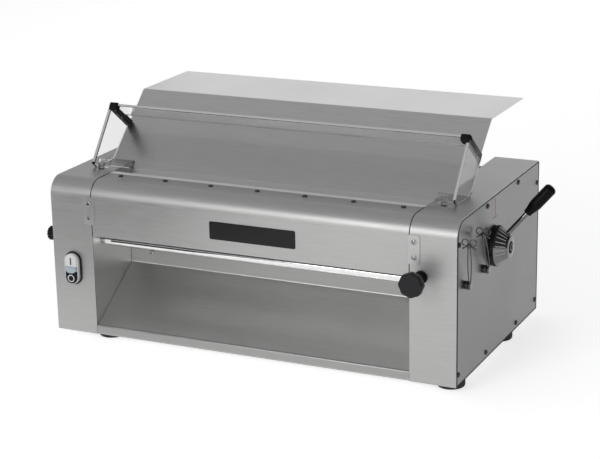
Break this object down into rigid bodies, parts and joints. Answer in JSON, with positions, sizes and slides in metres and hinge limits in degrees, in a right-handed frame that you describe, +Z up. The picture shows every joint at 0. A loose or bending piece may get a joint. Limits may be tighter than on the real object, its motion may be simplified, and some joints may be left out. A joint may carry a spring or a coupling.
{
  "type": "electric dough sheeter",
  "caption": "Electric tabletop dough sheeter with paired rollers, feed tray, clear guard, discharge chute and a lever that sets the roller gap.",
  "frame": {"origin": "on the table under the middle of the machine's overall box", "axes": "+X to the operator's right along the rollers, +Y to the back, +Z up"},
  "size_m": [0.8192, 0.456, 0.3683],
  "materials": {
    "casing_steel": "horizontally brushed stainless sheet",
    "tray_steel": "brushed stainless sheet",
    "bracket_steel": "brushed stainless strip",
    "bar_steel": "machined steel",
    "gear_steel": "cut steel",
    "screw_steel": "dark steel fasteners",
    "clip_wire": "bright spring wire",
    "polished_steel": "polished steel",
    "bush_bronze": "bearing bronze",
    "pulley_aluminium": "turned aluminium",
    "motor_paint": "dark painted housing",
    "black_plastic": "moulded black plastic",
    "plate_black": "plain black plate",
    "button_white": "white push button",
    "button_black": "black push button",
    "bezel_silver": "silver bezel",
    "lens_pale": "pale lens",
    "label_film": "printed index film",
    "foot_rubber": "black rubber feet",
    "belt_rubber": "flat drive belt",
    "clear_guard": "clear acrylic sheet"
  },
  "bodies": {
    "frame": {"right_wrap": "casing_steel", "left_wrap": "casing_steel", "right_inner_wall": "casing_steel", "left_inner_wall": "casing_steel", "right_side_panel": "casing_steel", "left_side_panel": "casing_steel", "base_plate": "casing_steel", "feet": "foot_rubber", "front_cover": "casing_steel", "cover_rail": "bar_steel", "cover_brackets": "bracket_steel", "name_plate": "plate_black", "back_panel": "casing_steel", "feed_tray": "tray_steel", "discharge_chute": "tray_steel", "tie_bars": "bar_steel", "guard_lugs": "clear_guard", "front_bushes": "bush_bronze", "hub_ring": "black_plastic", "index_label": "label_film", "front_scraper": "bar_steel", "front_scraper_rod": "polished_steel", "front_rod_nut": "screw_steel", "rod_knob": "black_plastic", "rod_clips": "clip_wire", "gearbox": "motor_paint", "motor": "motor_paint", "motor_cradle": "bar_steel", "drive_belt": "belt_rubber", "switch_bezel": "bezel_silver", "pilot_lens": "lens_pale", "switch_block": "black_plastic", "knob_bush": "bar_steel", "cable_gland": "black_plastic", "casing_screws": "screw_steel"},
    "front_roller": {"front_roller": "polished_steel", "front_roller_gear": "gear_steel", "roller_pulley": "pulley_aluminium"},
    "carriage": {"roller_carriages": "bar_steel", "rear_bushes": "bush_bronze"},
    "rear_roller": {"rear_roller": "polished_steel", "rear_roller_gear": "gear_steel"},
    "motor_drive": {"drive_shaft": "bar_steel", "motor_pulley": "pulley_aluminium"},
    "lever": {"adjust_shaft": "bar_steel", "spiral_cams": "gear_steel", "adjust_hub": "polished_steel", "hub_screw": "screw_steel", "adjust_lever": "polished_steel", "lever_grip": "black_plastic"},
    "rear_scraper": {"rear_scraper": "bar_steel", "rear_scraper_rod": "polished_steel", "rear_rod_nut": "screw_steel"},
    "guard": {"guard_panel": "clear_guard", "guard_bars": "black_plastic", "guard_hinges": "clear_guard"},
    "start_button": {"start_button": "button_white"},
    "stop_button": {"stop_button": "button_black"},
    "clamp_knob": {"star_knob": "black_plastic", "knob_stud": "screw_steel"}
  },
  "joints": [
    {"name": "front_roller_spin", "type": "hinge", "parent": "frame", "child": "front_roller", "pos_m": [-0.02925, -0.134, 0.217], "axis": [1, 0, 0], "continuous": true},
    {"name": "lever_turn", "type": "hinge", "parent": "frame", "child": "lever", "pos_m": [0.32075, -0.011, 0.187], "axis": [1, 0, 0], "range_deg": [-90, 180]},
    {"name": "carriage_slide", "type": "slide", "parent": "frame", "child": "carriage", "axis": [0, 1, 0], "range_m": [-0.00267, 0.00534]},
    {"name": "rear_roller_spin", "type": "hinge", "parent": "carriage", "child": "rear_roller", "pos_m": [-0.02925, -0.071, 0.217], "axis": [1, 0, 0], "continuous": true},
    {"name": "motor_spin", "type": "hinge", "parent": "frame", "child": "motor_drive", "pos_m": [-0.34925, 0.089, 0.095], "axis": [1, 0, 0], "continuous": true},
    {"name": "rear_scraper_swing", "type": "hinge", "parent": "frame", "child": "rear_scraper", "pos_m": [-0.02925, -0.061, 0.164], "axis": [1, 0, 0], "range_deg": [-4.54, 2.27]},
    {"name": "guard_hinge", "type": "hinge", "parent": "frame", "child": "guard", "pos_m": [-0.02925, -0.101, 0.277], "axis": [1, 0, 0], "range_deg": [0, 100]},
    {"name": "start_push", "type": "slide", "parent": "frame", "child": "start_button", "axis": [0, 1, 0], "range_m": [0, 0.003], "stiffness_N_per_m": 600},
    {"name": "stop_push", "type": "slide", "parent": "frame", "child": "stop_button", "axis": [0, 1, 0], "range_m": [0, 0.003], "stiffness_N_per_m": 600},
    {"name": "clamp_turn", "type": "hinge", "parent": "frame", "child": "clamp_knob", "pos_m": [0.26475, -0.181, 0.181], "axis": [0, 1, 0], "continuous": true}
  ],
  "couplings": [
    {"joint": "rear_roller_spin", "follows": "front_roller_spin", "ratio": -1},
    {"joint": "motor_spin", "follows": "front_roller_spin", "ratio": 2},
    {"joint": "lever_turn", "follows": "carriage_slide", "rad_per_m": 588.24},
    {"joint": "rear_scraper_swing", "follows": "carriage_slide", "rad_per_m": -14.84}
  ]
}
